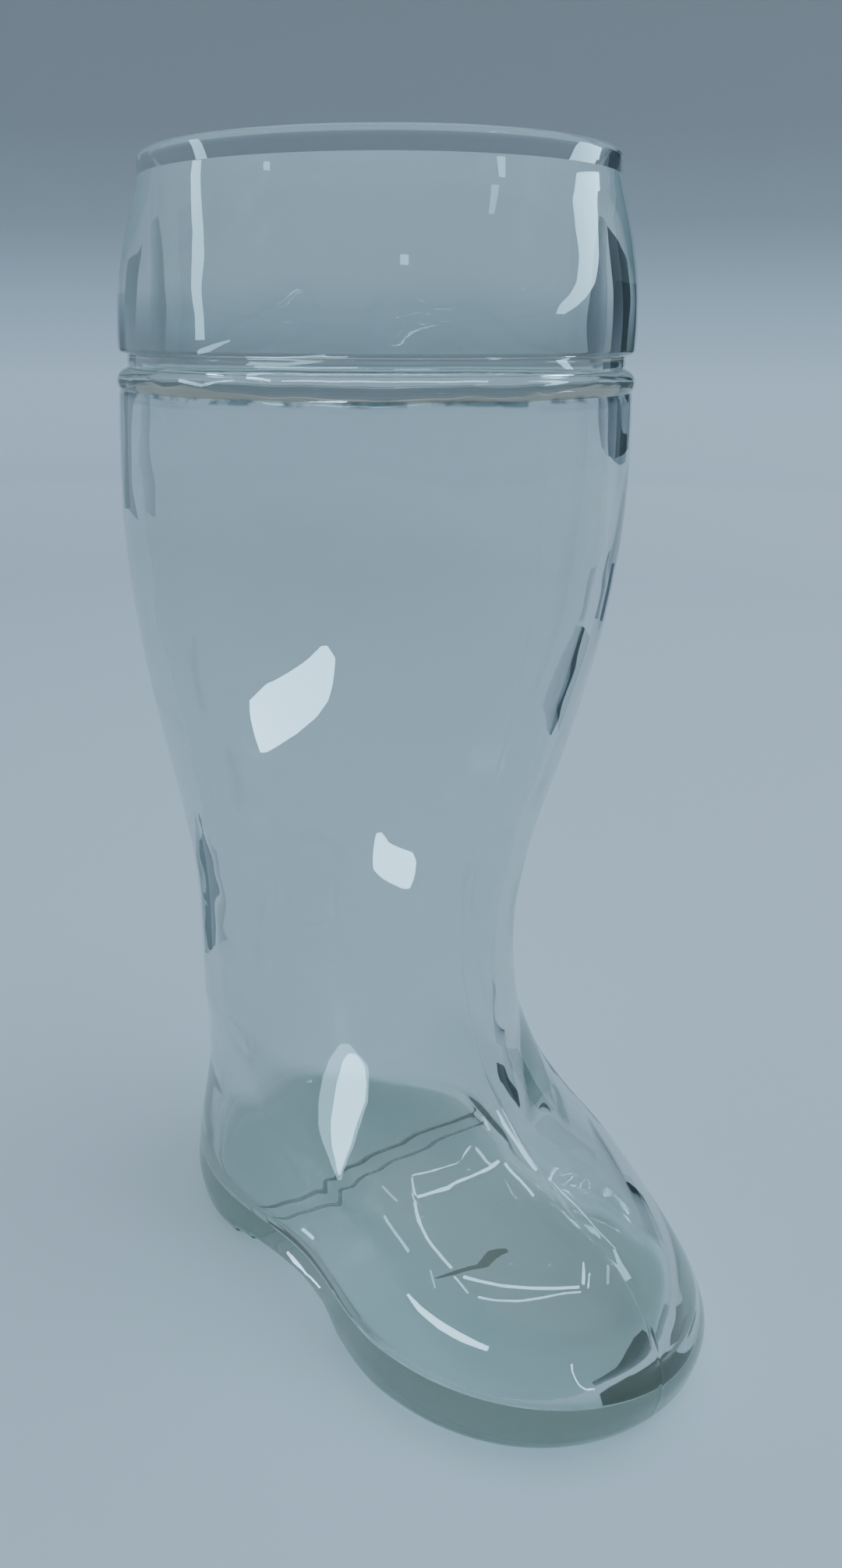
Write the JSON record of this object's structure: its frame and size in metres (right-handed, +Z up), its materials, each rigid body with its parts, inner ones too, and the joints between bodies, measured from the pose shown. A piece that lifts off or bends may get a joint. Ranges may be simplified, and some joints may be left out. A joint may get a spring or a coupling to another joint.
{
  "type": "boot drinking glass",
  "caption": "Clear glass beer boot: a footed, boot-shaped drinking vessel with a tapered cuff, a ringed bead, a waisted ankle and a flat-bottomed foot.",
  "frame": {"origin": "on the floor under the shaft's axis, in the flat underside of the heel", "axes": "+Z up along the shaft, +X towards the toe, +Y to the boot's left side"},
  "size_m": [0.1453, 0.0996, 0.224],
  "materials": {
    "glass": "clear, smooth, fire polished"
  },
  "bodies": {
    "root": {"rim": "glass", "cuff": "glass", "groove": "glass", "bead": "glass", "calf": "glass", "ankle": "glass", "foot": "glass", "base": "glass", "heel": "glass", "front_sole": "glass"}
  },
  "joints": []
}
